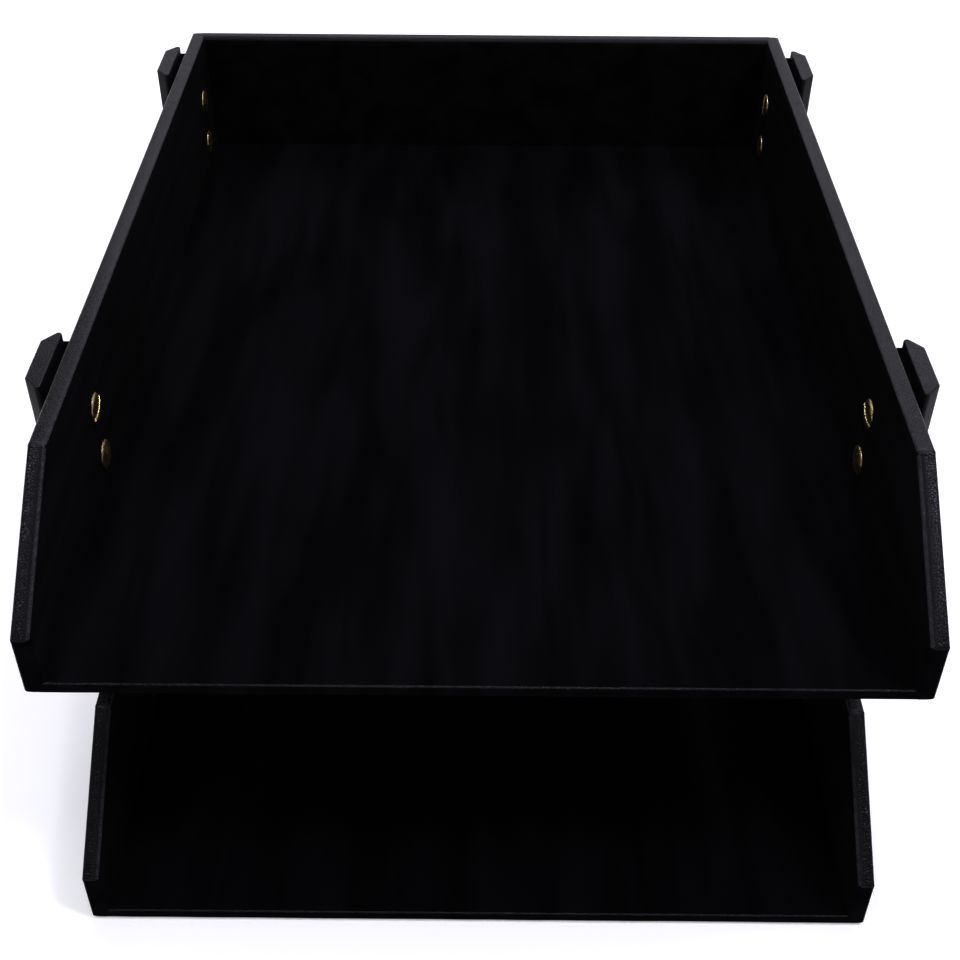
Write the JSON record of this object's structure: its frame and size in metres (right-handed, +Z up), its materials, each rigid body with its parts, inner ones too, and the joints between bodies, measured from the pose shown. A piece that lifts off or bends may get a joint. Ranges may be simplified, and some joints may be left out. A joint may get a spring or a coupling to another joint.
{
  "type": "desk tray",
  "caption": "Stacked letter trays with open, sloped fronts, wrapped in black leatherette and joined by flat side posts on brass binding screws.",
  "frame": {"origin": "on the desk under the middle of the tray's footprint", "axes": "+X to the right seen from the open front, +Y from the open front to the back wall, +Z up"},
  "size_m": [0.2916, 0.352, 0.1752],
  "materials": {
    "leatherette": "black, fine pebble grain, satin",
    "fibreboard": "raw fibreboard",
    "stained_board": "stained black, matte",
    "felt": "black needled felt",
    "brass": "polished"
  },
  "bodies": {
    "root": {"lower_base_board": "fibreboard", "lower_base_wrap": "leatherette", "lower_back_board": "fibreboard", "lower_back_wrap": "leatherette", "lower_left_board": "fibreboard", "lower_left_wrap": "leatherette", "lower_right_board": "fibreboard", "lower_right_wrap": "leatherette", "lower_underside_felt": "felt", "lower_binding_screws": "brass", "lower_screw_barrels": "brass", "upper_base_board": "fibreboard", "upper_base_wrap": "leatherette", "upper_back_board": "fibreboard", "upper_back_wrap": "leatherette", "upper_left_board": "fibreboard", "upper_left_wrap": "leatherette", "upper_right_board": "fibreboard", "upper_right_wrap": "leatherette", "upper_underside_felt": "felt", "upper_binding_screws": "brass", "upper_screw_barrels": "brass", "front_left_post_board": "fibreboard", "front_left_post_wrap": "leatherette", "front_left_post_packer": "stained_board", "front_right_post_board": "fibreboard", "front_right_post_wrap": "leatherette", "front_right_post_packer": "stained_board", "rear_left_post_board": "fibreboard", "rear_left_post_wrap": "leatherette", "rear_left_post_packer": "stained_board", "rear_right_post_board": "fibreboard", "rear_right_post_wrap": "leatherette", "rear_right_post_packer": "stained_board"}
  },
  "joints": []
}
